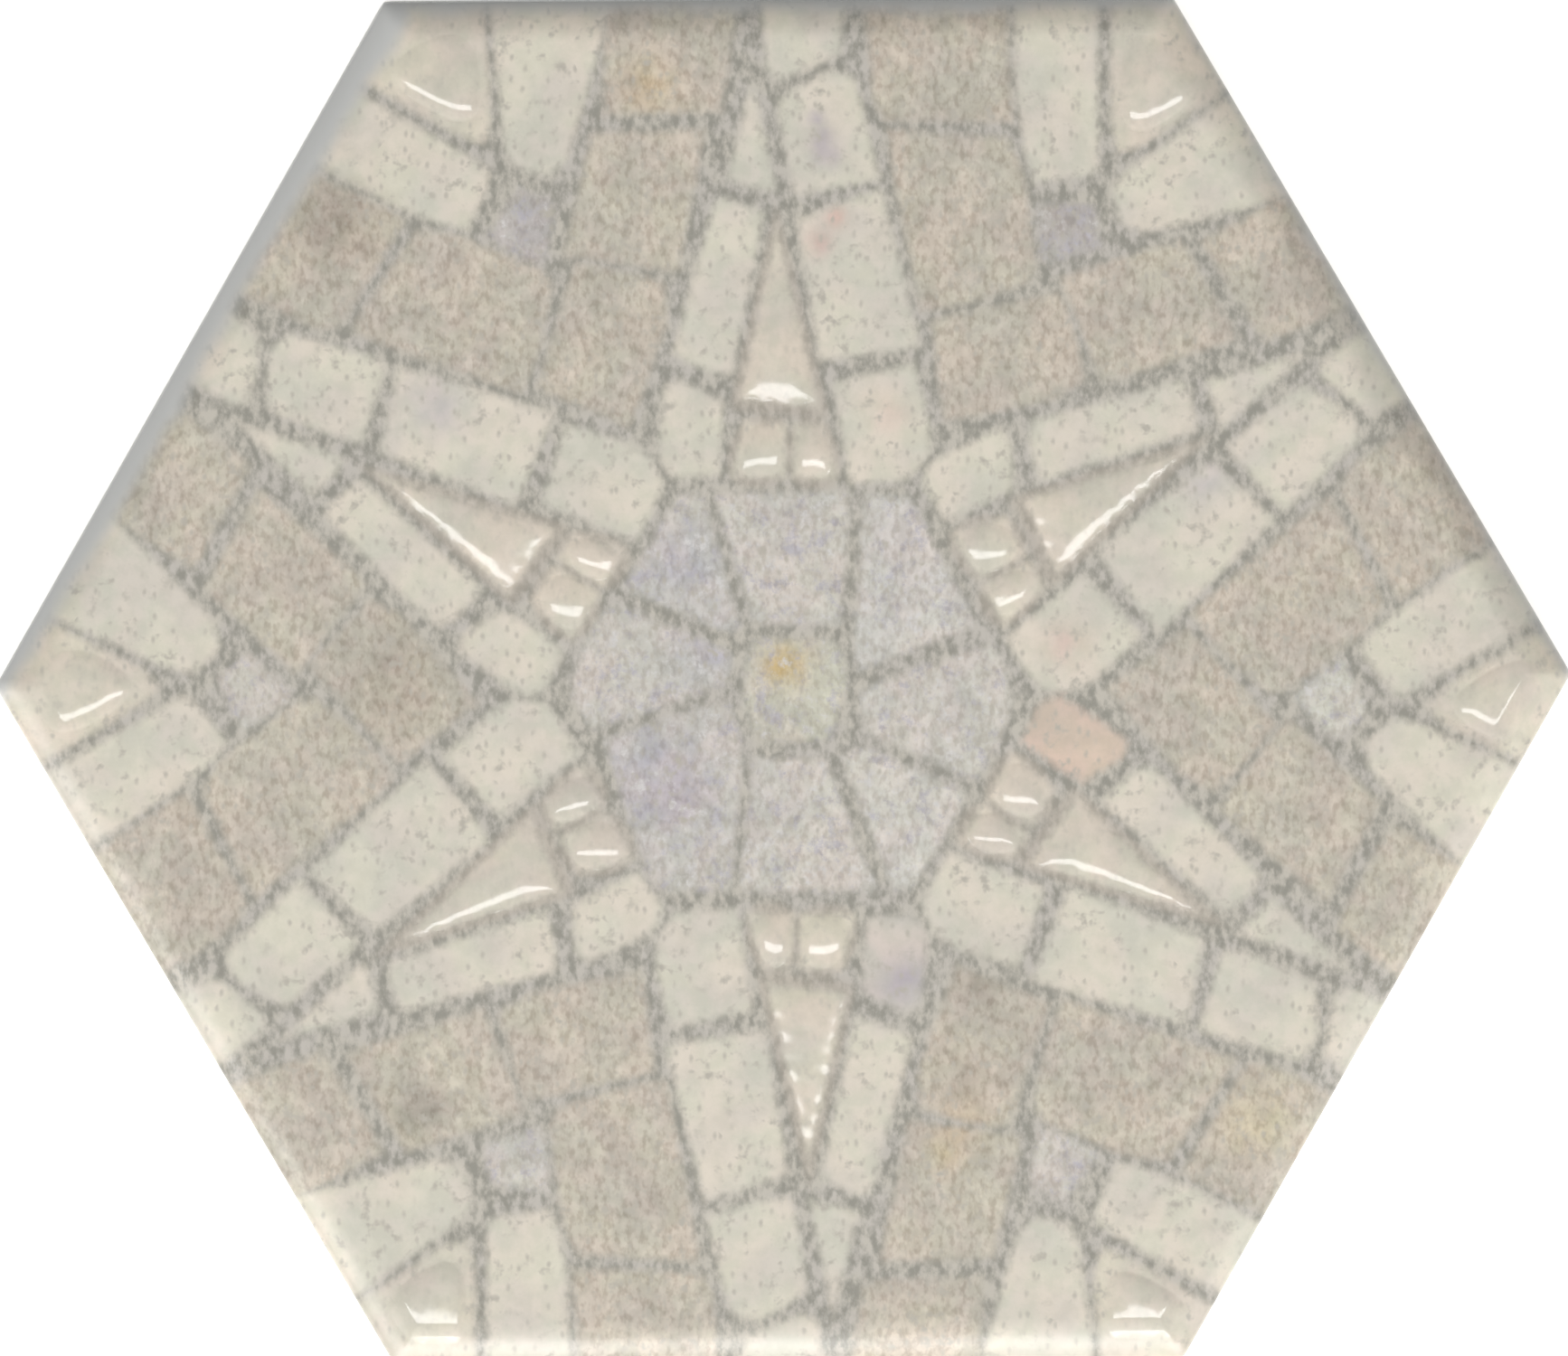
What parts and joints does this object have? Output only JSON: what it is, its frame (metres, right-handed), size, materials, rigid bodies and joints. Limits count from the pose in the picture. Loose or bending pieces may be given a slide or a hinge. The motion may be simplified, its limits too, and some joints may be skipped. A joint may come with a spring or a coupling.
{
  "type": "decorative tile",
  "caption": "Hexagonal glazed ceramic tile with a stone-mosaic star decor, raised glaze drops, a cushioned rim and a keyed back, for cladding a wall or a floor.",
  "frame": {"origin": "centre of the hexagon, on the plane of the back's ribs", "axes": "+Z out of the glazed face, +X towards a corner, +Y square to a flat"},
  "size_m": [0.2306, 0.2, 0.0088],
  "materials": {
    "glazed_body": "satin"
  },
  "bodies": {
    "root": {"tile": "glazed_body"}
  },
  "joints": []
}
